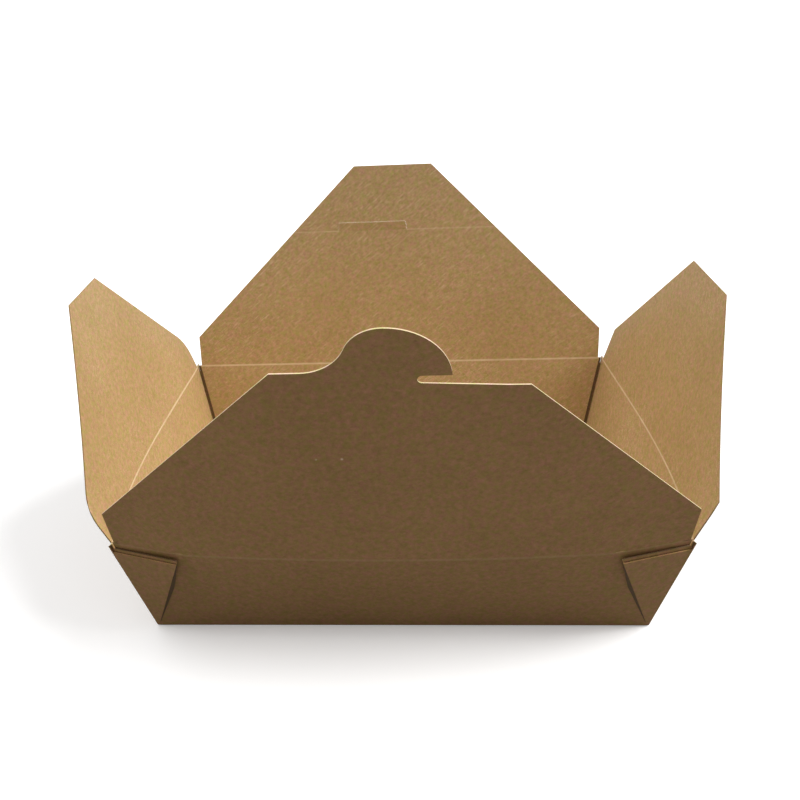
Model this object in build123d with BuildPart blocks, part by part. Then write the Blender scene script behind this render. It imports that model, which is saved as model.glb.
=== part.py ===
"""Folded kraft takeaway box with four open lid flaps.

One die-cut sheet of paperboard: a rectangular base, four walls that splay outwards, four webbed
corners folded flat against the outside of the front and rear walls, and four lid flaps that turn
on straight creases along the wall tops. Millimetres, +Z up, front towards -Y. The origin is the
middle of the base on the surface that the box stands on.
"""

from build123d import *
from math import atan, cos, radians, sin, tan
import os

os.makedirs("parts", exist_ok=True)

# The sheet
board = 0.5                # thickness of the paperboard
fold_radius = 0.5          # middle of the board round a folded base edge
corner_chamfer = 0.9 * board    # takes the base's corners inside the rounded folds

# The box, measured over the outside of the board
base_length = 197.0
base_width = 140.0
mouth_length = 216.0
mouth_width = 159.0
mouth_height = 48.0        # height at which the mouth sizes are taken

# Heights of the four creases: the flaps that close later turn a little higher
side_crease_height = 47.2
layer_step = 0.8
rear_crease_height = side_crease_height + layer_step
front_crease_height = rear_crease_height + layer_step
hinge_clearance = 0.15     # between a wall's rounded top and the hollow edge of its flap

# Webbed corners
mouth_slot = 0.9           # at the mouth, between a side wall and the end of the front or rear wall
base_slot = 0.3            # the same slot at the base
layer_gap = 0.35           # between the stacked layers of a web at its top
web_margin_outer = 3.0     # top of the outer layer below the side crease, along the slope
web_margin_inner = 1.5
fold_strip = 0.5           # width of board taken by a web's own folds
web_foot = 1.0             # distance up the slope where the outer layer starts
web_inner_foot = 10.0      # where the inner layer starts, inside the other two thicknesses
web_open_from = 25.0       # where the layers start to part

# Lean of each flap from the vertical, as the box stands open
front_lean = 19.3
rear_lean = 8.9
left_lean = 18.2
right_lean = 15.8

# Flap outlines, flat: half width at the crease, upright edge, then 45 degree sides to a flat tip
side_flap_inset = 0.7      # each end, from the inside of the front and rear walls
front_flap_inset = 2.0     # each end, from the outside of the mouth
rear_flap_inset = 2.8
front_shoulder = 18.0
rear_shoulder = 16.0
left_shoulder = 15.9
right_shoulder = 17.6
rear_tip = 19.2            # half width of each flat tip
left_tip = 16.6
right_tip = 20.5
front_tip_left = 36.2      # the front tip is cut lower on the right, under the hook's nose
front_tip_right = 42.6
left_corner_radius = 20.0  # the left flap's shoulders are rounded, the others are sharp

# Hook on the front flap, from the middle of the flap and from its left tip edge
hook_foot_x = -27.0
hook_top_x = -1.5
hook_rise = 17.5
hook_waist_share = 0.55    # how far up the bow of the hook its two left-hand arcs meet
hook_nose_x = 19.0
hook_nose_drop = 1.8
notch_end_x = 10.0         # centre of the notch's round end
notch_width = 3.0

# Catch on the rear flap: a score with a raised cut that the hook slips into
score_height = 70.0        # above the crease
score_width = 0.7
score_depth = 0.12
catch_rise = 4.2
catch_left_x = -28.3
catch_right_x = 6.6
catch_slant = 0.6          # each end of the cut leans by this much
slit_width = 0.4

# Worked out from the sizes above
side_splay = atan((mouth_length - base_length) / 2 / mouth_height)
front_splay = atan((mouth_width - base_width) / 2 / mouth_height)
reach = mouth_length + mouth_width      # longer than the box each way, for cutting
hollow_radius = board / 2 + hinge_clearance


def wall_middle(half_base, splay, height):
    """Distance from the box's middle to the middle of a wall's board at a height."""
    return half_base + height * tan(splay) - board / 2 / cos(splay)


front_crease_y = -wall_middle(base_width / 2, front_splay, front_crease_height)
rear_crease_y = wall_middle(base_width / 2, front_splay, rear_crease_height)
side_crease_x = wall_middle(base_length / 2, side_splay, side_crease_height)

# ---------------------------------------------------------------------------------------------
# Tray: base, walls and webbed corners, all one folded sheet
# ---------------------------------------------------------------------------------------------

# A web's two layers lie on planes that fan out from the base edge
slope_height = side_crease_height / cos(front_splay)
inner_layer_offset = board + layer_gap
outer_layer_offset = 2 * (board + layer_gap)
inner_layer_splay = front_splay + atan(inner_layer_offset / slope_height)
outer_layer_splay = front_splay + atan(outer_layer_offset / slope_height)

# The flat web is the wedge that the two splayed walls leave between them, folded on its middle
side_edge_angle = atan(tan(side_splay) * cos(front_splay))
front_edge_angle = atan(tan(front_splay) * cos(side_splay))
web_half_angle = (radians(90) - side_edge_angle - front_edge_angle) / 2
diagonal_angle = web_half_angle - side_edge_angle


def web_plane(splay):
    """Plane of a web layer's outer face at the front left corner: y runs up the slope."""
    return Plane(
        origin=(-base_length / 2, -base_width / 2, 0),
        x_dir=(1, 0, 0),
        z_dir=(0, -cos(splay), -sin(splay)),
    )


def wall_end_inset(height):
    """Distance from the outside of a side wall to the end of the front wall beside it."""
    return board + base_slot + (mouth_slot - base_slot) * height / mouth_height


def corner_x(height, inset):
    """Place of the corner edge up the slope, moved towards the middle by an inset."""
    return inset - height * tan(side_edge_angle)


def wall_end_x(height, overhang=0.0):
    """Place of the front wall's folded end up the slope."""
    return corner_x(height, wall_end_inset(height)) + overhang


def diagonal_x(height, overhang):
    """Place of the web's diagonal fold, moved past the fold by an overhang."""
    return height * tan(diagonal_angle) + overhang


inner_top = slope_height - web_margin_inner
outer_top = slope_height - web_margin_outer

with BuildPart() as corner_web:
    # Inner layer, from the folded end of the front wall to the diagonal
    with BuildSketch(web_plane(inner_layer_splay)):
        with BuildLine():
            Polyline(
                (wall_end_x(web_inner_foot), web_inner_foot),
                (wall_end_x(inner_top), inner_top),
                (diagonal_x(inner_top, fold_strip), inner_top),
                (diagonal_x(web_inner_foot, fold_strip), web_inner_foot),
                close=True,
            )
        make_face()
    extrude(amount=-board)
    # Outer layer, from inside the side wall's board to the diagonal
    with BuildSketch(web_plane(outer_layer_splay)):
        with BuildLine():
            Polyline(
                (corner_x(web_foot, board / 2), web_foot),
                (corner_x(outer_top, board / 2), outer_top),
                (diagonal_x(outer_top, fold_strip), outer_top),
                (diagonal_x(web_foot, fold_strip), web_foot),
                close=True,
            )
        make_face()
    extrude(amount=-board)
    # Diagonal fold that joins the two layers where they have parted
    with BuildSketch(web_plane(outer_layer_splay)):
        with BuildLine():
            Polyline(
                (diagonal_x(web_open_from, 0), web_open_from),
                (diagonal_x(outer_top, 0), outer_top),
                (diagonal_x(outer_top, fold_strip), outer_top),
                (diagonal_x(web_open_from, fold_strip), web_open_from),
                close=True,
            )
        make_face()
    extrude(amount=-(board + layer_gap + board / 2))
    # Upright fold that joins the inner layer to the front wall
    with BuildSketch(web_plane(inner_layer_splay)):
        with BuildLine():
            Polyline(
                (wall_end_x(web_open_from), web_open_from),
                (wall_end_x(inner_top), inner_top),
                (wall_end_x(inner_top, fold_strip), inner_top),
                (wall_end_x(web_open_from, fold_strip), web_open_from),
                close=True,
            )
        make_face()
    extrude(amount=-(board + layer_gap + board / 4))

with BuildPart() as side_walls:
    # Left wall, base and right wall as one bent strip of board, with rounded wall tops
    with BuildSketch(Plane.XZ):
        with BuildLine():
            FilletPolyline(
                (-side_crease_x, side_crease_height),
                (-wall_middle(base_length / 2, side_splay, board / 2), board / 2),
                (wall_middle(base_length / 2, side_splay, board / 2), board / 2),
                (side_crease_x, side_crease_height),
                radius=fold_radius,
            )
            offset(amount=board / 2, side=Side.BOTH, mode=Mode.REPLACE)
        make_face()
    extrude(amount=reach, both=True)
    # Ends cut to the outer layer of the webs, and inside the base's folded edges
    with BuildSketch(Plane.YZ.offset(-reach)) as side_wall_ends:
        with BuildLine():
            cut_height = 2 * mouth_height
            end_top = base_width / 2 + cut_height * tan(outer_layer_splay)
            Polyline(
                (-base_width / 2, 0),
                (base_width / 2, 0),
                (end_top, cut_height),
                (-end_top, cut_height),
                close=True,
            )
        make_face()
        chamfer(side_wall_ends.vertices().group_by(Axis.Y)[0], corner_chamfer)
    extrude(amount=2 * reach, mode=Mode.INTERSECT)

with BuildPart() as tray:
    # Front wall, base and rear wall as the other bent strip
    with BuildSketch(Plane.YZ):
        with BuildLine():
            FilletPolyline(
                (front_crease_y, front_crease_height),
                (-wall_middle(base_width / 2, front_splay, board / 2), board / 2),
                (wall_middle(base_width / 2, front_splay, board / 2), board / 2),
                (rear_crease_y, rear_crease_height),
                radius=fold_radius,
            )
            offset(amount=board / 2, side=Side.BOTH, mode=Mode.REPLACE)
        make_face()
    extrude(amount=reach, both=True)
    # Its ends lean away from the side walls, which leaves the slot into each web
    with BuildSketch(Plane.XZ.offset(-reach)):
        with BuildLine():
            cut_height = 2 * mouth_height
            end_base = base_length / 2 - wall_end_inset(0)
            end_top = base_length / 2 + cut_height * tan(side_splay) - wall_end_inset(cut_height)
            Polyline(
                (-end_base, 0),
                (end_base, 0),
                (end_top, cut_height),
                (-end_top, cut_height),
                close=True,
            )
        make_face()
    extrude(amount=2 * reach, mode=Mode.INTERSECT)
    add(side_walls.part)
    add(corner_web.part)
    add(corner_web.part.mirror(Plane.YZ))
    add(corner_web.part.mirror(Plane.XZ))
    add(corner_web.part.mirror(Plane.YZ).mirror(Plane.XZ))

tray.part.label = "tray"
export_step(tray.part, "parts/tray.step")

# ---------------------------------------------------------------------------------------------
# Lid flaps: flat plates whose lower edge is hollowed round the crease that they turn on
# ---------------------------------------------------------------------------------------------


def flap_length(half_width, shoulder, tip):
    """Height of a flat tip above the crease, at the end of a 45 degree side."""
    return shoulder + half_width - tip


front_half = mouth_length / 2 - front_flap_inset
rear_half = mouth_length / 2 - rear_flap_inset
inner_wall = wall_middle(base_width / 2, front_splay, side_crease_height) - board / 2 / cos(front_splay)
side_half = inner_wall - side_flap_inset

front_up = (0, -sin(radians(front_lean)), cos(radians(front_lean)))
rear_up = (0, sin(radians(rear_lean)), cos(radians(rear_lean)))
left_up = (-sin(radians(left_lean)), 0, cos(radians(left_lean)))
right_up = (sin(radians(right_lean)), 0, cos(radians(right_lean)))


def flap_plane(crease, along, up):
    """Middle plane of a flap: x along the crease, y up the flap."""
    return Plane(origin=crease, x_dir=along, z_dir=Vector(*along).cross(Vector(*up)))


def crease_plane(crease, along):
    """Plane square to a crease, for the round hollow in the flap's lower edge."""
    return Plane(origin=crease, z_dir=along)


front_crease = (0, front_crease_y, front_crease_height)
rear_crease = (0, rear_crease_y, rear_crease_height)
left_crease = (-side_crease_x, 0, side_crease_height)
right_crease = (side_crease_x, 0, side_crease_height)
along_x = (1, 0, 0)
along_y = (0, 1, 0)

# Front flap, with the hook that holds the closed lid
left_edge = flap_length(front_half, front_shoulder, front_tip_left)
right_edge = flap_length(front_half, front_shoulder, front_tip_right)
hook_top = left_edge + hook_rise
hook_waist_x = hook_foot_x + hook_waist_share * (hook_top_x - hook_foot_x)
hook_waist = left_edge + hook_waist_share * hook_rise
nose = left_edge - hook_nose_drop
notch_floor = nose - notch_width

with BuildPart() as front_flap:
    with BuildSketch(flap_plane(front_crease, along_x, front_up)):
        with BuildLine():
            Polyline(
                (notch_end_x, notch_floor),
                (front_tip_right, right_edge),
                (front_half, front_shoulder),
                (front_half, 0),
                (-front_half, 0),
                (-front_half, front_shoulder),
                (-front_tip_left, left_edge),
                (hook_foot_x, left_edge),
            )
            foot_arc = TangentArc((hook_foot_x, left_edge), (hook_waist_x, hook_waist), tangent=(1, 0))
            back_arc = TangentArc(foot_arc @ 1, (hook_top_x, hook_top), tangent=foot_arc % 1)
            nose_arc = TangentArc(back_arc @ 1, (hook_nose_x, nose), tangent=(1, 0))
            roof = Line(nose_arc @ 1, (notch_end_x, nose))
            ThreePointArc(
                roof @ 1,
                (notch_end_x - notch_width / 2, nose - notch_width / 2),
                (notch_end_x, notch_floor),
            )
        make_face()
    extrude(amount=board / 2, both=True)
    with BuildSketch(crease_plane(front_crease, along_x)):
        Circle(hollow_radius)
    extrude(amount=mouth_length, both=True, mode=Mode.SUBTRACT)

front_flap.part.label = "front_flap"
export_step(front_flap.part, "parts/front_flap.step")

# Rear flap, with the score and the raised cut that take the hook
rear_length = flap_length(rear_half, rear_shoulder, rear_tip)
score_half = rear_half - (score_height - rear_shoulder)    # where the score meets the 45 degree sides
rear_plane = flap_plane(rear_crease, along_x, rear_up)
catch_height = score_height + catch_rise

with BuildPart() as rear_flap:
    with BuildSketch(rear_plane):
        with BuildLine():
            Polyline(
                (-rear_half, 0),
                (-rear_half, rear_shoulder),
                (-rear_tip, rear_length),
                (rear_tip, rear_length),
                (rear_half, rear_shoulder),
                (rear_half, 0),
                close=True,
            )
        make_face()
    extrude(amount=board / 2, both=True)
    with BuildSketch(crease_plane(rear_crease, along_x)):
        Circle(hollow_radius)
    extrude(amount=mouth_length, both=True, mode=Mode.SUBTRACT)
    # Score pressed into the inside face, on both sides of the cut
    with BuildSketch(rear_plane.offset(board / 2)):
        left_run = catch_left_x + score_half
        right_run = score_half - catch_right_x
        with Locations((catch_left_x - left_run / 2, score_height)):
            Rectangle(left_run, score_width)
        with Locations((catch_right_x + right_run / 2, score_height)):
            Rectangle(right_run, score_width)
    extrude(amount=-score_depth, mode=Mode.SUBTRACT)
    # Raised cut, right through the board
    with BuildSketch(rear_plane):
        with BuildLine() as cut_line:
            Polyline(
                (catch_left_x, score_height),
                (catch_left_x + catch_slant, catch_height),
                (catch_right_x - catch_slant, catch_height),
                (catch_right_x, score_height),
            )
        trace(line_width=slit_width)
    extrude(amount=board, both=True, mode=Mode.SUBTRACT)

rear_flap.part.label = "rear_flap"
export_step(rear_flap.part, "parts/rear_flap.step")

# Left flap, with rounded shoulders
left_length = flap_length(side_half, left_shoulder, left_tip)

with BuildPart() as left_flap:
    with BuildSketch(flap_plane(left_crease, along_y, left_up)) as left_outline:
        with BuildLine():
            Polyline(
                (-side_half, 0),
                (-side_half, left_shoulder),
                (-left_tip, left_length),
                (left_tip, left_length),
                (side_half, left_shoulder),
                (side_half, 0),
                close=True,
            )
        make_face()
        fillet(left_outline.vertices().group_by(Axis.Y)[1], left_corner_radius)
    extrude(amount=board / 2, both=True)
    with BuildSketch(crease_plane(left_crease, along_y)):
        Circle(hollow_radius)
    extrude(amount=mouth_width, both=True, mode=Mode.SUBTRACT)

left_flap.part.label = "left_flap"
export_step(left_flap.part, "parts/left_flap.step")

# Right flap, with sharp shoulders
right_length = flap_length(side_half, right_shoulder, right_tip)

with BuildPart() as right_flap:
    with BuildSketch(flap_plane(right_crease, along_y, right_up)):
        with BuildLine():
            Polyline(
                (-side_half, 0),
                (-side_half, right_shoulder),
                (-right_tip, right_length),
                (right_tip, right_length),
                (side_half, right_shoulder),
                (side_half, 0),
                close=True,
            )
        make_face()
    extrude(amount=board / 2, both=True)
    with BuildSketch(crease_plane(right_crease, along_y)):
        Circle(hollow_radius)
    extrude(amount=mouth_width, both=True, mode=Mode.SUBTRACT)

right_flap.part.label = "right_flap"
export_step(right_flap.part, "parts/right_flap.step")
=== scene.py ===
"""Kraft takeaway box, with its four lid flaps standing open. Metres, +Z up, front towards -Y."""

import math

import bmesh
import bpy
from mathutils import Matrix, Vector


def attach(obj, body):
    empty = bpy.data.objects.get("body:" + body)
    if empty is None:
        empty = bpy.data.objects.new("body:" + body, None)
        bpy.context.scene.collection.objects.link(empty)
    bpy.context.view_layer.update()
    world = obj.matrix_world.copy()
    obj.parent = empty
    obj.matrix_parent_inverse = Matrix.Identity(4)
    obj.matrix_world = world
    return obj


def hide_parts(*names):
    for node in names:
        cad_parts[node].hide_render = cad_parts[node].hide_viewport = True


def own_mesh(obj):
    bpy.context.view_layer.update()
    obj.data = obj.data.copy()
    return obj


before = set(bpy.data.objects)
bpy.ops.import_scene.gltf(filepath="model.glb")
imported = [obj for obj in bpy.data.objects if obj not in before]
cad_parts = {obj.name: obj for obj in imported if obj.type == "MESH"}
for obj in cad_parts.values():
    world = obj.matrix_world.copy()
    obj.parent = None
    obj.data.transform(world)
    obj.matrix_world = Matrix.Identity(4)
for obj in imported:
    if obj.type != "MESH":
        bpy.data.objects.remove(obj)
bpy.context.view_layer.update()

# ------------------------------------------------------------------------------------------------
# Base, rear wall and rear webs. The whole box is one die-cut sheet of 0.5 mm unbleached kraft board,
# outside brown and rough, inside smoother and paler; part of the outside's darkness is painted shade.
# Walls are folded up on scored lines, and each corner's web is folded on its diagonal and glued flat
# to the outside of the end wall. Painted shade darkens the webs' tops, their diagonal folds and the
# turned ends of the end walls.
# ------------------------------------------------------------------------------------------------

mm = 0.001
board = 0.5 * mm
base_half_length = 98.5 * mm
base_half_width = 70.0 * mm
wall_lean = math.radians(11.195)       # every wall's, before it springs out
corner_lean = math.radians(10.985)     # a corner edge from upright, in the wall's own plane
joint_skin = 0.3 * mm                  # how deep a moving wall is cut from the standing tray
end_turn = 2.3 * mm                    # width of an end wall's ends, where it turns into its webs
web_rise = 0.9 * mm                    # of the webs' tops, which stand almost up to the lid crease
fold_width = 0.3 * mm                  # opened board each side of a lid crease
fold_fade = 0.65 * mm                  # where that has faded out
sharp_fold = math.radians(5)
in_wall = 0.3 * mm                     # within this of the middle of its board, a point is a wall's
in_inner_web = 1.25 * mm               # and within this, it is a wall's or a web's inner layer's
base_top = 1 * mm                      # the base's inside is lower than this
above_base = 2 * mm                    # and the cut edges that face up are higher than this
facing = 0.5                           # least part of a face's normal that points where it faces
facing_up = 0.75                       # the same for a cut edge that faces up
same_point = 1e-7
sliver = 0.004 * mm


def lerp(a, b, t):
    """What lies the share t of the way from a to b."""
    return a + (b - a) * t


def clamp(t, low=0.0, high=1.0):
    return max(low, min(high, t))


def named_group(name, inputs, outputs):
    """An empty shader group, with its named inputs and outputs."""
    tree = bpy.data.node_groups.new(name, "ShaderNodeTree")
    for label, start in inputs:
        kind = "NodeSocketColor" if isinstance(start, tuple) else "NodeSocketFloat"
        tree.interface.new_socket(label, in_out="INPUT", socket_type=kind).default_value = start
    for label in outputs:
        kind = "NodeSocketColor" if label == "Colour" else "NodeSocketFloat"
        tree.interface.new_socket(label, in_out="OUTPUT", socket_type=kind)
    return tree, tree.nodes.new("NodeGroupInput").outputs, tree.nodes.new("NodeGroupOutput").inputs


def feed(tree, socket, value):
    """Links the socket to another one, or sets it to a number or colour."""
    if isinstance(value, bpy.types.NodeSocket):
        tree.links.new(value, socket)
    else:
        socket.default_value = value


def calc(tree, operation, a, b):
    """The result of an operation on two sockets or numbers."""
    node = tree.nodes.new("ShaderNodeMath")
    node.operation = operation
    feed(tree, node.inputs[0], a)
    feed(tree, node.inputs[1], b)
    return node.outputs[0]


def tint(tree, share, a, b, kind="MIX"):
    """Colour a turned towards colour b."""
    node = tree.nodes.new("ShaderNodeMix")
    node.data_type = "RGBA"
    node.blend_type = kind
    node.clamp_factor = True
    feed(tree, node.inputs["Factor"], share)
    feed(tree, node.inputs["A"], a)
    feed(tree, node.inputs["B"], b)
    return node.outputs["Result"]


def ramp(tree, value, low, high, to_low=0.0, to_high=1.0):
    """The value spread from low and high to two other ends."""
    node = tree.nodes.new("ShaderNodeMapRange")
    for socket, number in zip(node.inputs[1:5], (low, high, to_low, to_high)):
        socket.default_value = number
    feed(tree, node.inputs["Value"], value)
    return node.outputs[0]


def grain(tree, scale, detail=3.0, rough=0.55, size=(1, 1, 1), turn=(0, 0, 0)):
    """Noise through the board. With size, its grains are that long in metres, along turned axes."""
    place = tree.nodes.new("ShaderNodeTexCoord")
    mapping = tree.nodes.new("ShaderNodeMapping")
    mapping.vector_type = "TEXTURE"
    mapping.inputs["Scale"].default_value = size
    mapping.inputs["Rotation"].default_value = turn
    texture = tree.nodes.new("ShaderNodeTexNoise")
    texture.inputs["Scale"].default_value = scale
    texture.inputs["Detail"].default_value = detail
    texture.inputs["Roughness"].default_value = rough
    tree.links.new(place.outputs["Object"], mapping.inputs["Vector"])
    tree.links.new(mapping.outputs["Vector"], texture.inputs["Vector"])
    return texture.outputs["Fac"]


def pulp_group():
    """Unbleached pulp: cloudy felting, crossing fibres, and flecks of bark and bleached fibre."""
    tree, given, made = named_group(
        "kraft pulp",
        (("Pale", (0.6, 0.4, 0.2, 1)), ("Brown", (0.4, 0.25, 0.12, 1)), ("Cloud", 1.0),
         ("Fibre", 1.0), ("Fleck", 0.5), ("Dullness", 0.7)),
        ("Colour", "Roughness", "Height"),
    )
    middle = 0.5                           # of a noise, and of the way from brown to pale
    cloud_share = 0.25                     # of the felting, the rest of which is fine
    cloud = grain(tree, scale=26)
    felt = grain(tree, scale=560, detail=4, rough=0.6)
    along = grain(tree, 1, rough=0.6, size=(3.3 * mm, 0.38 * mm, 0.38 * mm), turn=(0, 0.25, 0.2))
    across = grain(tree, 1, rough=0.6, size=(0.4 * mm, 3.1 * mm, 0.42 * mm), turn=(0.3, 0, 0.15))
    slant = grain(
        tree, 1, detail=2, rough=0.6, size=(0.42 * mm, 0.5 * mm, 2.4 * mm), turn=(0.5, 0.6, 0)
    )
    crossing = calc(tree, "ADD", calc(tree, "ADD", along, across), slant)
    fibres = calc(tree, "MULTIPLY", crossing, 1 / 3)
    clouds = calc(tree, "MULTIPLY", cloud, cloud_share)
    felted = calc(tree, "ADD", clouds, calc(tree, "MULTIPLY", felt, 1 - cloud_share))
    patches = calc(tree, "MULTIPLY", calc(tree, "SUBTRACT", felted, middle), given["Cloud"])
    strands = calc(tree, "MULTIPLY", calc(tree, "SUBTRACT", fibres, middle), given["Fibre"])
    paleness = calc(tree, "ADD", calc(tree, "ADD", patches, strands), middle)
    colour = tint(tree, paleness, given["Brown"], given["Pale"])

    # The pulp wanders between a greenish and a reddish brown
    greenish = (0.87, 1.05, 0.70, 1)
    reddish = (1.12, 0.95, 1.28, 1)
    drift = grain(tree, scale=500, rough=0.6, turn=(0.4, 1.1, 0.2))
    hue = tint(tree, ramp(tree, drift, 0.33, 0.67), greenish, reddish)
    colour = tint(tree, 1.0, colour, hue, "MULTIPLY")

    # One fleck at most in each cell, and the cell's own chance says which kind, if any
    cells_a_metre = 120
    fleck_radius = 0.075                   # of a cell
    bark_chance = 0.28
    bleached_chance = 0.06
    place = tree.nodes.new("ShaderNodeTexCoord")
    cells = tree.nodes.new("ShaderNodeTexVoronoi")
    cells.inputs["Scale"].default_value = cells_a_metre
    tree.links.new(place.outputs["Object"], cells.inputs["Vector"])
    spot = ramp(tree, cells.outputs["Distance"], 0.0, fleck_radius, to_low=1.0, to_high=0.0)
    lot = tree.nodes.new("ShaderNodeSeparateColor")
    tree.links.new(cells.outputs["Color"], lot.inputs["Color"])
    has_bark = calc(tree, "GREATER_THAN", lot.outputs[0], 1 - bark_chance)
    is_bleached = calc(tree, "LESS_THAN", lot.outputs[0], bleached_chance)
    for kind, shade, strength in (
        (has_bark, (0.08, 0.045, 0.02, 1), 0.55),
        (is_bleached, (0.8, 0.68, 0.48, 1), 0.9),
    ):
        fleck = calc(tree, "MULTIPLY", calc(tree, "MULTIPLY", spot, kind), strength)
        colour = tint(tree, calc(tree, "MULTIPLY", fleck, given["Fleck"]), colour, shade)

    fibre_dullness = 0.35
    felt_height = 0.6
    dull = calc(tree, "MULTIPLY", calc(tree, "SUBTRACT", fibres, middle), fibre_dullness)
    raised = calc(tree, "MULTIPLY", felt, felt_height)
    feed(tree, made["Colour"], colour)
    feed(tree, made["Roughness"], calc(tree, "ADD", dull, given["Dullness"]))
    feed(tree, made["Height"], calc(tree, "ADD", raised, fibres))
    return tree


def fold_group():
    """Paler, rougher board on a fold or score, where the bend has opened the surface."""
    tree, given, made = named_group(
        "worn fold",
        (("Colour", (0.5, 0.4, 0.25, 1)), ("Opened", (0.7, 0.55, 0.36, 1)), ("Roughness", 0.6),
         ("Height", 0.0), ("Amount", 0.5)),
        ("Colour", "Roughness", "Height"),
    )
    fold = tree.nodes.new("ShaderNodeAttribute")
    fold.attribute_name = "fold"
    rougher = 0.25                         # where the board is fully opened
    raised = 1.5
    rubbed = ramp(tree, grain(tree, scale=160, detail=4), 0.3, 0.65, to_low=0.6)
    bent = calc(tree, "MULTIPLY", fold.outputs["Fac"], rubbed)
    share = calc(tree, "MULTIPLY", bent, given["Amount"])
    rough = calc(tree, "ADD", given["Roughness"], calc(tree, "MULTIPLY", share, rougher))
    height = calc(tree, "ADD", given["Height"], calc(tree, "MULTIPLY", share, raised))
    feed(tree, made["Colour"], tint(tree, share, given["Colour"], given["Opened"]))
    feed(tree, made["Roughness"], rough)
    feed(tree, made["Height"], height)
    return tree


def scuff_and_sheen_group():
    """Scuff lines and painted sheen, slanting up to the right on end flaps, and up to the rear on side
    flaps.
    """
    tree, given, made = named_group(
        "hairline scuffs",
        (("Colour", (0.5, 0.4, 0.25, 1)), ("Rubbed", (0.8, 0.7, 0.55, 1)), ("Roughness", 0.6),
         ("Amount", 0.5)),
        ("Colour", "Roughness"),
    )
    slope = math.radians(38)
    width = 0.45 * mm
    length = 16 * mm
    faint, full = 0.55, 0.72               # values of the noise that a scuff lies between
    side_share = 0.7                       # of the scuffs on side flaps, which are weaker
    polish = 0.3
    on_ends = grain(tree, 1, 2, 0.5, size=(length, width, width), turn=(0, -slope, 0))
    on_sides = grain(tree, 1, 2, 0.5, size=(width, length, width), turn=(slope, 0, 0))
    ends = ramp(tree, on_ends, faint, full)
    sides = ramp(tree, on_sides, faint, full)
    lines = calc(tree, "MAXIMUM", ends, calc(tree, "MULTIPLY", sides, side_share))
    # Broad patches, where the paler scuff lines also stand in for a painted sheen.
    where = ramp(tree, grain(tree, scale=22, detail=2), 0.35, 0.7, to_low=0.25)
    share = calc(tree, "MULTIPLY", calc(tree, "MULTIPLY", lines, where), given["Amount"])
    smoother = calc(tree, "MULTIPLY", share, polish)
    feed(tree, made["Colour"], tint(tree, share, given["Colour"], given["Rubbed"]))
    feed(tree, made["Roughness"], calc(tree, "SUBTRACT", given["Roughness"], smoother))
    return tree


kraft_pulp = pulp_group()
worn_fold = fold_group()
scuffs_and_painted_sheen = scuff_and_sheen_group()
relief_depth = 0.06 * mm                   # of the bump at full strength


def kraft_face(
    name, pale, brown, opened, cloud, fibre, fleck, dullness, wear, scuffs_and_sheen, relief, gloss
):
    """One face of the board: its pulp, scuff lines and painted sheen, and the opened board of its
    folds.
    """
    material = bpy.data.materials.new(name)
    material.use_nodes = True
    tree = material.node_tree
    shader = tree.nodes["Principled BSDF"]

    def placed(group, **values):
        """The outputs of a group placed in this material, with its own values."""
        node = tree.nodes.new("ShaderNodeGroup")
        node.node_tree = group
        for label, value in values.items():
            feed(tree, node.inputs[label], (*value, 1) if isinstance(value, tuple) else value)
        return node.outputs

    pulp = placed(
        kraft_pulp, Pale=pale, Brown=brown, Cloud=cloud, Fibre=fibre, Fleck=fleck,
        Dullness=dullness,
    )
    scuffed_and_sheen = placed(
        scuffs_and_painted_sheen, Colour=pulp["Colour"], Rubbed=opened, Roughness=pulp["Roughness"],
        Amount=scuffs_and_sheen,
    )
    folded = placed(
        worn_fold, Colour=scuffed_and_sheen["Colour"], Opened=opened, Roughness=scuffed_and_sheen["Roughness"],
        Height=pulp["Height"], Amount=wear,
    )
    bump = tree.nodes.new("ShaderNodeBump")
    bump.inputs["Strength"].default_value = relief
    bump.inputs["Distance"].default_value = relief_depth
    feed(tree, bump.inputs["Height"], folded["Height"])
    feed(tree, shader.inputs["Base Color"], folded["Colour"])
    feed(tree, shader.inputs["Roughness"], folded["Roughness"])
    feed(tree, shader.inputs["Normal"], bump.outputs["Normal"])
    shader.inputs["Specular IOR Level"].default_value = gloss
    return material


# The outside's brown is partly the uncoated board's own and partly painted shade, darker than the
# inside.
outside_face = kraft_face(
    "kraft outside", (0.365, 0.206, 0.082), (0.257, 0.140, 0.052), (0.50, 0.34, 0.19),
    cloud=2.4, fibre=2.0, fleck=0.8, dullness=0.74, wear=0.25, scuffs_and_sheen=0.12, relief=0.5, gloss=0.3,
)
# The inside's high scuff amount makes its paler scuff lines also paint a whitish sheen.
inside_face = kraft_face(
    "kraft inside", (0.585, 0.395, 0.182), (0.40, 0.257, 0.106), (0.82, 0.64, 0.41),
    cloud=2.2, fibre=1.9, fleck=0.6, dullness=0.5, wear=0.85, scuffs_and_sheen=0.75, relief=0.35, gloss=0.45,
)
cut_face = kraft_face(
    "kraft cut edge", (0.86, 0.70, 0.48), (0.66, 0.49, 0.29), (0.34, 0.21, 0.10),
    cloud=1.0, fibre=1.6, fleck=0.2, dullness=0.85, wear=1.0, scuffs_and_sheen=0.0, relief=0.6, gloss=0.2,
)
# Painted shade: the rear and side flaps' cut edges are a dark brown, as if in shade, not the pale cut.
shaded_cut_edge = kraft_face(
    "kraft cut edge in painted shade", (0.34, 0.215, 0.10), (0.22, 0.13, 0.055), (0.80, 0.64, 0.42),
    cloud=1.0, fibre=1.6, fleck=0.2, dullness=0.85, wear=0.8, scuffs_and_sheen=0.0, relief=0.6, gloss=0.2,
)
# Painted shade: a near black for the webs' inner tops, their diagonal folds and the end walls' turned
# ends.
painted_shade_face = kraft_face(
    "kraft painted shade", (0.15, 0.092, 0.042), (0.10, 0.060, 0.027), (0.34, 0.21, 0.10),
    cloud=1.0, fibre=1.2, fleck=0.2, dullness=0.6, wear=0.0, scuffs_and_sheen=0.0, relief=0.4, gloss=0.3,
)
board_faces = (outside_face, inside_face, cut_face, shaded_cut_edge, painted_shade_face)
outside, inside, pale_cut, shaded_cut, painted_shade = range(len(board_faces))


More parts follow.
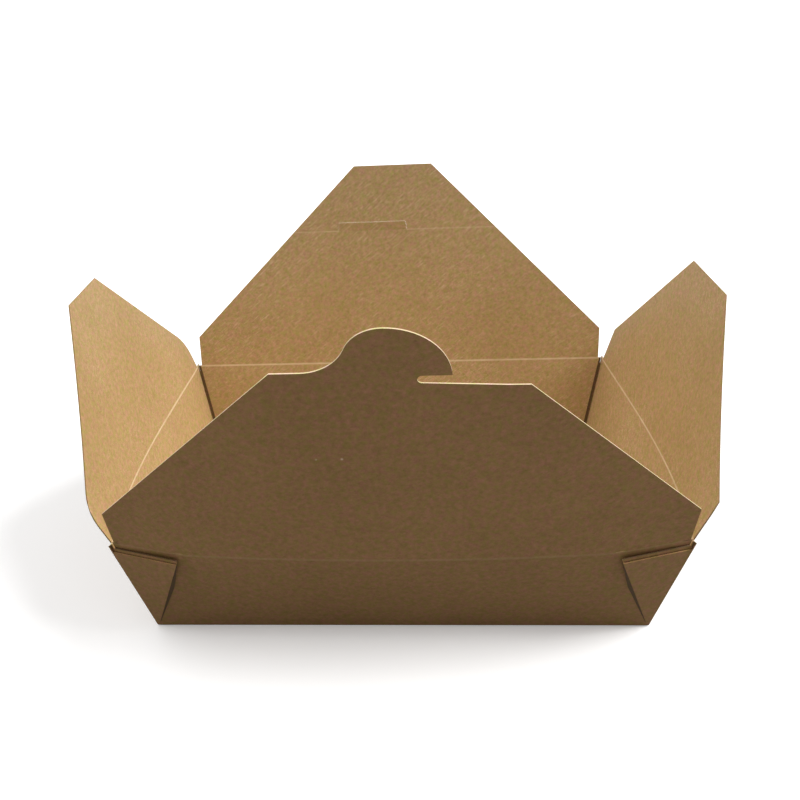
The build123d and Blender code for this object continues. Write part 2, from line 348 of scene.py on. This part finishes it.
class Wall:
    """A wall by its lid crease: along is level in it, up is its slope, and out is square to it."""

    def __init__(self, crease, outward):
        self.crease = Vector(crease) * mm
        self.outward = Vector(outward)
        self.along = Vector((abs(self.outward.y), abs(self.outward.x), 0))
        self.out = self.outward * math.cos(wall_lean) - Vector((0, 0, math.sin(wall_lean)))
        self.up = self.outward * math.sin(wall_lean) + Vector((0, 0, math.cos(wall_lean)))
        self.height = self.crease.z / math.cos(wall_lean)
        self.skin = self.crease - self.out * (board / 2 + joint_skin)

    def place(self, point):
        """Along the wall, up its slope from the floor, and out from the middle of its board."""
        away = point - self.crease
        return away.dot(self.along), self.height + away.dot(self.up), away.dot(self.out)


front_wall = Wall((0, -79.4035, 48.8), (0, -1, 0))
rear_wall = Wall((0, 79.2452, 48.0), (0, 1, 0))
left_wall = Wall((-107.5868, 0, 47.2), (-1, 0, 0))
right_wall = Wall((107.5868, 0, 47.2), (1, 0, 0))


def tray_copy():
    """The tray as packed, with joined corners."""
    bm = bmesh.new()
    bm.from_mesh(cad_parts["tray"].data)
    bmesh.ops.remove_doubles(bm, verts=bm.verts, dist=same_point)
    return bm


def cut(bm, point, square, drop=None):
    """Cuts the sheet on a plane. With drop, what is on that side goes, and the cut is closed."""
    found = bmesh.ops.bisect_plane(
        bm, geom=bm.verts[:] + bm.edges[:] + bm.faces[:], dist=same_point, plane_co=point,
        plane_no=square, clear_outer=drop == "outer", clear_inner=drop == "inner",
    )
    if drop:
        edges = [e for e in found["geom_cut"] if isinstance(e, bmesh.types.BMEdge)]
        rim = [e for e in edges if e.is_boundary]
        bmesh.ops.triangle_fill(bm, use_beauty=True, use_dissolve=False, edges=rim, normal=square)


def cut_fold_rows(bm, wall):
    """Rows just under a wall's lid crease, for the opened board of the fold."""
    for depth in (fold_width, fold_fade):
        cut(bm, wall.crease - wall.up * depth, wall.up)


def opened(distance):
    """How much the board is opened at a distance from a fold."""
    return clamp((fold_fade - distance) / (fold_fade - fold_width))


def paint_tray(bm, wall):
    """Gives each face its side of the board or painted shade, and opens the board at the wall's lid
    crease.
    """
    for f in bm.faces:
        centre = f.calc_center_median()
        if abs(centre.x) - base_half_length > abs(centre.y) - base_half_width:
            inward = Vector((-math.copysign(1, centre.x), 0, 0))
        else:
            inward = Vector((0, -math.copysign(1, centre.y), 0))
        from_end = max(front_wall.place(centre)[2], rear_wall.place(centre)[2])
        to_middle = -f.normal.x * math.copysign(1, centre.x)
        f.material_index = outside
        if centre.z > above_base and f.normal.z > facing_up:
            f.material_index = pale_cut
            # Painted shade on the webs' tops: the outer layer's in the outside's brown, the inner
            # layer's near black.
            if from_end > in_wall:
                f.material_index = outside if from_end > in_inner_web else painted_shade
        # Painted shade along the webs' diagonal folds, on the faces that look towards the middle.
        elif from_end > in_wall and to_middle > facing:
            f.material_index = painted_shade
        elif f.normal.dot(inward) > facing or (centre.z < base_top and f.normal.z > facing):
            across, height, out = wall.place(centre)
            # Painted shade on the strips at the ends of an end wall's inside, where it turns into its
            # webs.
            end = base_half_length - end_turn + height * math.tan(corner_lean)
            turned = wall.outward.x == 0 and abs(out) < board and height > 0 and abs(across) > end
            f.material_index = painted_shade if turned else inside
    fold = bm.verts.layers.float.new("fold")
    for v in bm.verts:
        _, height, out = wall.place(v.co)
        if abs(out) < in_wall:
            v[fold] = opened(wall.height - height)


def cut_turned_ends(bm, wall):
    """Cuts the narrow ends of an end wall, where the board turns away into the webs, to paint shade
    there.
    """
    for side in (-1, 1):
        foot = wall.outward * base_half_width + wall.along * side * (base_half_length - end_turn)
        square = wall.along * math.cos(corner_lean) - wall.up * math.sin(corner_lean) * side
        cut(bm, foot, square)


def raise_webs(bm, wall):
    """Lifts the tops of an end wall's webs, outside the wall."""
    for v in bm.verts:
        _, height, out = wall.place(v.co)
        if out > board / 2 + same_point and height > 0:
            v.co += wall.up * web_rise * clamp(height / wall.height)


def clean(bm):
    """Takes off the slivers and doubled faces that the cuts leave, and closes what they open."""
    bmesh.ops.remove_doubles(bm, verts=bm.verts, dist=sliver)
    bmesh.ops.dissolve_degenerate(bm, dist=sliver, edges=bm.edges)
    bmesh.ops.triangulate(bm, faces=[f for f in bm.faces if len(f.verts) > 3])
    lying_on = {}
    for f in bm.faces:
        lying_on.setdefault(frozenset(f.verts), []).append(f)
    doubled = [f for same in lying_on.values() for f in same[len(same) % 2:]]
    bmesh.ops.delete(bm, geom=doubled, context="FACES")
    hanging = [
        f for f in bm.faces
        if any(e.is_boundary for e in f.edges) and any(len(e.link_faces) > 2 for e in f.edges)
    ]
    bmesh.ops.delete(bm, geom=hanging, context="FACES")
    bmesh.ops.delete(bm, geom=[e for e in bm.edges if not e.link_faces], context="EDGES")
    bmesh.ops.delete(bm, geom=[v for v in bm.verts if not v.link_edges], context="VERTS")
    bmesh.ops.holes_fill(bm, edges=[e for e in bm.edges if e.is_boundary], sides=0)
    bmesh.ops.triangulate(bm, faces=[f for f in bm.faces if len(f.verts) > 3])


def sheet_object(name, bm, body, stands_for=None):
    """Makes the piece in the place that its CAD body gives it, sharp on its folds and cut edges."""
    mesh = bpy.data.meshes.new(name)
    bm.to_mesh(mesh)
    bm.free()
    mesh.polygons.foreach_set("use_smooth", [True] * len(mesh.polygons))
    mesh.set_sharp_from_angle(angle=sharp_fold)
    faces_at = [0] * len(mesh.edges)
    for loop in mesh.loops:
        faces_at[loop.edge_index] += 1
    for edge in mesh.edges:
        edge.use_edge_sharp = edge.use_edge_sharp or faces_at[edge.index] == 1
    for face in board_faces:
        mesh.materials.append(face)
    piece = bpy.data.objects.new(name, mesh)
    bpy.context.scene.collection.objects.link(piece)
    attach(piece, body)
    if stands_for:
        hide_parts(stands_for)
    return piece


bm = tray_copy()
for wall in (front_wall, left_wall, right_wall):
    cut(bm, wall.skin, wall.out, drop="outer")
cut_fold_rows(bm, rear_wall)
cut_turned_ends(bm, rear_wall)
clean(bm)
paint_tray(bm, rear_wall)
raise_webs(bm, rear_wall)
sheet_object("base_and_rear_wall", bm, "tray", "tray")

# ------------------------------------------------------------------------------------------------
# Front wall and front webs. The same sheet: the long front panel springs out and its lid crease bows
# between the webs' folds. The webs are glued only near the corner, and stand off it at their tips.
# ------------------------------------------------------------------------------------------------

front_bow = 8.7 * mm
front_bow_way = math.radians(15.25)    # the crease moves out and down, between wall and flap
glued_diagonal = math.radians(23.03)   # a web's diagonal fold from upright, in the wall's own plane
sprung_diagonal = math.radians(20.6)   # the same fold once the wall has sprung out
fold_share = 0.7                       # of the front bow that is reached at that fold
web_spring = 1.3 * mm                  # how far a web's tip stands off its wall
web_tip_rise = 0.8 * mm
corner_play = 0.8 * mm                 # of the wall at its corner edges, which don't spring
front_cuts = range(-72, 73, 12)        # where its board is divided to bend, in mm across it
crease_lap = 0.97                      # share of a wall's height where it starts to lap its flap
lap_rise = 0.03                        # share of the height that this takes
over_crease = 1.02                     # share of the height up to which a wall leans out


def front_profile(across, height):
    """Share of the front bow at a distance from the middle, at a height up the slope."""
    corner = base_half_length + height * math.tan(corner_lean) - corner_play
    fold = base_half_length - height * math.tan(sprung_diagonal)
    beside = abs(across)
    if beside >= fold:
        return fold_share * clamp((corner - beside) / max(corner - fold, same_point))
    return lerp(1.0, fold_share, (beside / fold) ** 2)


def bow_wall(bm, wall, amount, way, profile):
    """Leans a wall out from its base edge, with its top bowed as the profile says."""
    move = wall.outward * math.cos(way) + Vector((0, 0, -math.sin(way)))
    for v in bm.verts:
        across, height, _ = wall.place(v.co)
        if height <= 0:
            continue
        share = clamp(height / wall.height, 0, over_crease)
        size = amount * share * profile(across, height)
        lap = size * math.sin(way - wall_lean) * clamp((share - crease_lap) / lap_rise)
        v.co += move * size + wall.up * lap


bm = tray_copy()
cut(bm, front_wall.skin, front_wall.out, drop="inner")
for side in (-1, 1):
    web_foot = Vector((side * base_half_length, -base_half_width, 0))
    level = front_wall.along * math.cos(sprung_diagonal)
    slope = front_wall.up * math.sin(sprung_diagonal)
    cut(bm, web_foot, level + slope * side)
for x in front_cuts:
    cut(bm, Vector((x * mm, 0, 0)), front_wall.along)
cut_fold_rows(bm, front_wall)
cut_turned_ends(bm, front_wall)
clean(bm)
paint_tray(bm, front_wall)
web_reach = math.tan(glued_diagonal) + math.tan(corner_lean)
tuck = 1 - (math.tan(sprung_diagonal) + math.tan(corner_lean)) / web_reach
for v in bm.verts:
    across, height, out = front_wall.place(v.co)
    if out > board / 2 + same_point and height > 0:
        from_corner = max(base_half_length + height * math.tan(corner_lean) - abs(across), 0)
        towards_tip = clamp(from_corner / (height * web_reach))
        stand_off = towards_tip * clamp(height / front_wall.height)
        v.co.x += math.copysign(from_corner * tuck, across)
        v.co += front_wall.out * web_spring * stand_off
        v.co += front_wall.up * web_tip_rise * stand_off
raise_webs(bm, front_wall)
bow_wall(bm, front_wall, front_bow, front_bow_way, front_profile)
front_panel = sheet_object("front_wall", bm, "tray")
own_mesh(front_panel)

# ------------------------------------------------------------------------------------------------
# Side walls. The two short panels of the sheet, which also spring out, the most a little forward of
# the middle. Each is held at its ends by the webs' folds.
# ------------------------------------------------------------------------------------------------

left_bow = 4.9 * mm
right_bow = 5.2 * mm
left_bow_way = math.radians(14.7)
right_bow_way = math.radians(13.5)
side_lopsided = 0.45                   # how much more they spring out forward of the middle
side_cuts = range(-72, 73, 9)          # where their board is divided to bend, in mm across it
side_rows = (12, 24, 36)               # and in mm up it


def side_profile(across, height):
    """Share of a side bow at a distance from the middle, at a height up the slope."""
    corner = base_half_width + height * math.tan(corner_lean) - corner_play
    t = clamp(across / corner, -1, 1)
    return (1 - t * t) * (1 - side_lopsided * t)


for name, wall, amount, way, joint in (
    ("left_wall", left_wall, left_bow, left_bow_way, "left_flap_crease"),
    ("right_wall", right_wall, right_bow, right_bow_way, "right_flap_crease"),
):
    bm = tray_copy()
    cut(bm, front_wall.skin, front_wall.out, drop="outer")
    cut(bm, wall.skin, wall.out, drop="inner")
    for y in side_cuts:
        cut(bm, Vector((0, y * mm, 0)), wall.along)
    for h in side_rows:
        cut(bm, wall.crease + wall.up * (h * mm - wall.height), wall.up)
    cut_fold_rows(bm, wall)
    clean(bm)
    paint_tray(bm, wall)
    raise_webs(bm, rear_wall)
    bow_wall(bm, wall, amount, way, side_profile)
    side_panel = sheet_object(name, bm, "tray")
    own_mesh(side_panel)

# ------------------------------------------------------------------------------------------------
# Front flap. A lid flap with the hook tab, of the same sheet, turned up on the front lid crease. Near
# the crease its board is bowed like the wall under it, and its cut outline is straight.
# ------------------------------------------------------------------------------------------------

grid = 6 * mm                          # spacing of the lines that divide a flap's board to bend
half_grid_lines = 18                   # of them each side of the flap's middle
crease_roll = 0.4 * mm                 # how far up the CAD flap's rounded foot reaches
at_crease = 1e-6                       # nearer the crease than this, a point is on it


class Flap:
    """A lid flap by its crease: along is level in it, up is its slope, and out is its outside.

    The outline is level at height top as far as tip from the middle, and then slopes down to height
    shoulder at half, which is half the length of the crease.
    """

    def __init__(self, name, wall, along, lean, half, shoulder, tip, top):
        lean = math.radians(lean)
        self.name = name
        self.joint = name + "_crease"
        self.crease = wall.crease
        self.outward = wall.outward
        self.along = Vector(along)
        self.up = wall.outward * math.sin(lean) + Vector((0, 0, math.cos(lean)))
        self.out = self.along.cross(self.up)
        self.half = half * mm
        self.shoulder = shoulder * mm
        self.tip = tip * mm
        self.top = top * mm

    def place(self, point):
        """Along the crease, up the flap from it, and out from the middle of its board."""
        away = point - self.crease
        return away.dot(self.along), away.dot(self.up), away.dot(self.out)

    def edge_height(self, across):
        """Height of the outline: shoulders, then straight slopes up to the tip."""
        slope = clamp((abs(across) - self.tip) / (self.half - self.tip))
        return lerp(self.top, self.shoulder, slope)


def flap_board(flap, rows=(), columns=()):
    """Middle of the flap's board, from the CAD solid's outside face, cut into a grid."""
    bm = bmesh.new()
    bm.from_mesh(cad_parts[flap.name].data)
    bmesh.ops.remove_doubles(bm, verts=bm.verts, dist=same_point)
    face = board / 2 - at_crease
    inner = [f for f in bm.faces if any(flap.place(v.co)[2] < face for v in f.verts)]
    bmesh.ops.delete(bm, geom=inner, context="FACES")
    bmesh.ops.delete(bm, geom=[v for v in bm.verts if not v.link_faces], context="VERTS")
    for v in bm.verts:
        _, height, out = flap.place(v.co)
        v.co -= flap.out * out
        if height < crease_roll:
            v.co -= flap.up * height
    top = max(flap.place(v.co)[1] for v in bm.verts)
    lines = [(flap.up, n * grid) for n in range(1, int(top / grid) + 1)]
    lines += [(flap.along, n * grid) for n in range(-half_grid_lines, half_grid_lines + 1)]
    lines += [(flap.up, row) for row in (fold_width, fold_fade, *rows)]
    lines += [(flap.along, column) for column in columns]
    for square, distance in lines:
        cut(bm, flap.crease + square * distance, square)
    fold = bm.verts.layers.float.new("fold")
    for v in bm.verts:
        v[fold] = opened(flap.place(v.co)[1])
    return bm


def bow_flap(bm, flap, amount, way, profile):
    """Sets the flap's foot down on its crease, and bows it there, fading out to its outline."""
    move = flap.outward * math.cos(way) + Vector((0, 0, -math.sin(way)))
    lean = math.asin(clamp(-flap.out.z, -1, 1))
    for v in bm.verts:
        across, height, _ = flap.place(v.co)
        size = amount * profile(across) * clamp(1 - height / flap.edge_height(across))
        if height < at_crease:
            v.co -= flap.up * (board / 2 + size * math.sin(lean - way))
        v.co += move * size


def lid_object(bm, flap, edge):
    """The board in its full thickness, with its two sides and the finish of its cut edge."""
    lid = sheet_object(flap.name.replace("flap", "lid"), bm, flap.name, flap.name)
    thick = lid.modifiers.new("board", "SOLIDIFY")
    thick.thickness = board
    thick.offset = 0
    thick.material_offset = inside
    thick.material_offset_rim = edge
    return lid


front_flap = Flap("front_flap", front_wall, (1, 0, 0), 19.3, 106, 18, 39, 85)
bm = flap_board(front_flap)
bow_flap(bm, front_flap, front_bow, front_bow_way, lambda x: front_profile(x, front_wall.height))
front_lid = lid_object(bm, front_flap, pale_cut)
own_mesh(front_lid)

# ------------------------------------------------------------------------------------------------
# Rear flap. It has two short scores in line, and between them a cut raised 4 mm, which leaves a tongue
# that stands forward and takes the front flap's hook. The press has whitened the board beside them.
# ------------------------------------------------------------------------------------------------

score_height = 70.0 * mm
tongue_top = 74.2 * mm
tongue_foot = (-28.3 * mm, 6.6 * mm)
tongue_tip = (-27.7 * mm, 6.0 * mm)
score_rows = [score_height + step * mm for step in (-0.55, -0.3, 0.0, 0.3, 0.55)]
score_depth = 0.05 * mm
score_spread = 0.45 * mm               # how far beside a score the board is opened
score_wear = 0.6                       # and how much
on_score = 1e-5
tongue_rows = [tongue_top + step * mm for step in (-1.0, -0.5, 0.5, 1.0)]
tongue_columns = [-(x * mm) for x in (-29.0, -28.6, -27.3, -26.8, 5.2, 5.6, 6.9, 7.3)]
tongue_lift = 0.4 * mm
cut_left_open = 0.12                   # share of the die's cut that the board hasn't closed
cut_half = 0.3 * mm                    # half the width of the die's cut
cut_end = 0.4 * mm                     # how far its ends reach past the tongue
cut_wear = 0.45

rear_flap = Flap("rear_flap", rear_wall, (-1, 0, 0), 8.9, 105.2, 16, 19.2, 102)
bm = flap_board(rear_flap, score_rows + tongue_rows, tongue_columns)
fold = bm.verts.layers.float["fold"]
for v in bm.verts:
    height = rear_flap.place(v.co)[1]
    x = v.co.x
    above = height - score_height
    beyond = height - tongue_top
    up_tongue = above / (tongue_top - score_height)
    left = lerp(tongue_foot[0], tongue_tip[0], clamp(up_tongue))
    right = lerp(tongue_foot[1], tongue_tip[1], clamp(up_tongue))
    on_tongue = -0.001 <= up_tongue < 1 and left < x < right
    if not left < x < right:
        v[fold] = max(v[fold], score_wear * clamp(1 - abs(above) / score_spread))
        if abs(above) < on_score:
            v.co += rear_flap.out * score_depth
    if v.is_boundary and -cut_half < above and beyond < cut_half:
        if left - cut_end < x < right + cut_end:
            v[fold] = cut_wear
            if abs(beyond) < cut_half:
                v.co -= rear_flap.up * beyond * (1 - cut_left_open)
            if abs(x - left) < cut_half:
                v.co.x -= (x - left) * (1 - cut_left_open)
            elif abs(x - right) < cut_half:
                v.co.x -= (x - right) * (1 - cut_left_open)
    if on_tongue:
        v.co -= rear_flap.out * tongue_lift * clamp(up_tongue)
# Its crease is straight, so only its foot is set down
bow_flap(bm, rear_flap, 0.0, 0.0, lambda x: 0.0)
lid_object(bm, rear_flap, shaded_cut)

# ------------------------------------------------------------------------------------------------
# Side flaps. Plain lid flaps of the same sheet, the left one with rounded shoulders and the right one
# with sharp ones. Their front shoulders curl out a little, where the board was folded hardest.
# ------------------------------------------------------------------------------------------------

shoulder_curl = 2.2 * mm
curl_height = 16 * mm

left_flap = Flap("left_flap", left_wall, (0, -1, 0), 18.2, 78.13, 15.9, 16.6, 77.4)
right_flap = Flap("right_flap", right_wall, (0, 1, 0), 15.8, 78.13, 17.6, 20.5, 75.2)
for flap, wall, amount, way in (
    (left_flap, left_wall, left_bow, left_bow_way),
    (right_flap, right_wall, right_bow, right_bow_way),
):
    bm = flap_board(flap)
    for v in bm.verts:
        height = flap.place(v.co)[1]
        forward = clamp(-v.co.y / flap.half)
        v.co += flap.out * shoulder_curl * forward ** 3 * clamp(height / curl_height)
    bow_flap(bm, flap, amount, way, lambda x: side_profile(x * flap.along.y, wall.height))
    side_lid = lid_object(bm, flap, shaded_cut)
    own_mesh(side_lid)

# ------------------------------------------------------------------------------------------------
# Studio. A plain white floor and sky, a soft key light from the right, and a softer one from the left.
# The floor and sky look white, but give the box less light than that, so its own colours hold.
# ------------------------------------------------------------------------------------------------

floor_reach = 40.0
floor_gap = 0.02 * mm                  # below the box, so that the two don't flicker
white = (0.93, 0.93, 0.93, 1)
floor_bounce = (0.30, 0.30, 0.30, 1)   # colour of the floor in the light that it gives the box
floor_glow = 0.2
sky_light = 0.42                       # strength of the sky for the box, against 1 as it is seen

floor_mesh = bpy.data.meshes.new("floor")
corners = [(x * floor_reach, y * floor_reach, 0) for x, y in ((-1, -1), (1, -1), (1, 1), (-1, 1))]
floor_mesh.from_pydata(corners, [], [(0, 1, 2, 3)])
floor = bpy.data.objects.new("floor", floor_mesh)
floor.location.z = -floor_gap
bpy.context.scene.collection.objects.link(floor)
floor_paint = bpy.data.materials.new("white floor")
floor_paint.use_nodes = True
paint = floor_paint.node_tree
seen_floor = paint.nodes["Principled BSDF"]
seen_floor.inputs["Base Color"].default_value = white
seen_floor.inputs["Roughness"].default_value = 0.9
seen_floor.inputs["Specular IOR Level"].default_value = 0.1
seen_floor.inputs["Emission Color"].default_value = (1, 1, 1, 1)
seen_floor.inputs["Emission Strength"].default_value = floor_glow
dim_floor = paint.nodes.new("ShaderNodeBsdfDiffuse")
dim_floor.inputs["Color"].default_value = floor_bounce
looked_at = paint.nodes.new("ShaderNodeLightPath")
either = paint.nodes.new("ShaderNodeMixShader")
paint.links.new(looked_at.outputs["Is Camera Ray"], either.inputs[0])
paint.links.new(dim_floor.outputs[0], either.inputs[1])
paint.links.new(seen_floor.outputs[0], either.inputs[2])
paint.links.new(either.outputs[0], paint.nodes["Material Output"].inputs["Surface"])
floor_mesh.materials.append(floor_paint)

world = bpy.data.worlds.new("studio")
world.use_nodes = True
bpy.context.scene.world = world
sky = world.node_tree
sky_seen = sky.nodes.new("ShaderNodeLightPath").outputs["Is Camera Ray"]
sky_strength = ramp(sky, sky_seen, 0.0, 1.0, to_low=sky_light)
sky.nodes["Background"].inputs["Color"].default_value = (1, 1, 1, 1)
feed(sky, sky.nodes["Background"].inputs["Strength"], sky_strength)
bpy.context.scene.view_settings.view_transform = "Standard"

for name, towards, softness, strength in (
    ("key", (0.62, -0.01, 0.78), 30, 2.8),
    ("fill", (-0.55, 0.0, 0.83), 60, 1.4),
):
    lamp_data = bpy.data.lights.new(name, "SUN")
    lamp_data.angle = math.radians(softness)
    lamp_data.energy = strength
    lamp = bpy.data.objects.new(name, lamp_data)
    lamp.location = towards
    lamp.rotation_mode = "QUATERNION"
    lamp.rotation_quaternion = (-Vector(towards)).to_track_quat("-Z", "Y")
    bpy.context.scene.collection.objects.link(lamp)

# ------------------------------------------------------------------------------------------------
# Camera. In front of the box and above it, a little right of its middle. It looks slightly left and
# 26 degrees down, with its frame shifted and tilted a little.
# ------------------------------------------------------------------------------------------------

camera_place = Vector((5.62, -343.32, 243.55)) * mm
turn = math.radians(-4.61)             # to the left of straight ahead
dip = math.radians(25.83)              # below level
tilt = math.radians(-3.11)
ahead = Vector((math.sin(turn) * math.cos(dip), math.cos(turn) * math.cos(dip), -math.sin(dip)))
level = Vector((math.cos(turn), -math.sin(turn), 0))
above = level.cross(ahead)
frame_right = math.cos(tilt) * level + math.sin(tilt) * above
frame_up = math.cos(tilt) * above - math.sin(tilt) * level
stance = Matrix((frame_right, frame_up, -ahead)).transposed().to_4x4()
stance.translation = camera_place
camera_data = bpy.data.cameras.new("camera")
camera_data.sensor_width = 36
camera_data.lens = 39.29
camera_data.shift_x = 0.0696
camera_data.shift_y = -0.0262
camera_data.clip_start = 0.01
camera = bpy.data.objects.new("camera", camera_data)
camera.matrix_world = stance
bpy.context.scene.collection.objects.link(camera)
bpy.context.scene.camera = camera

bpy.context.view_layer.update()
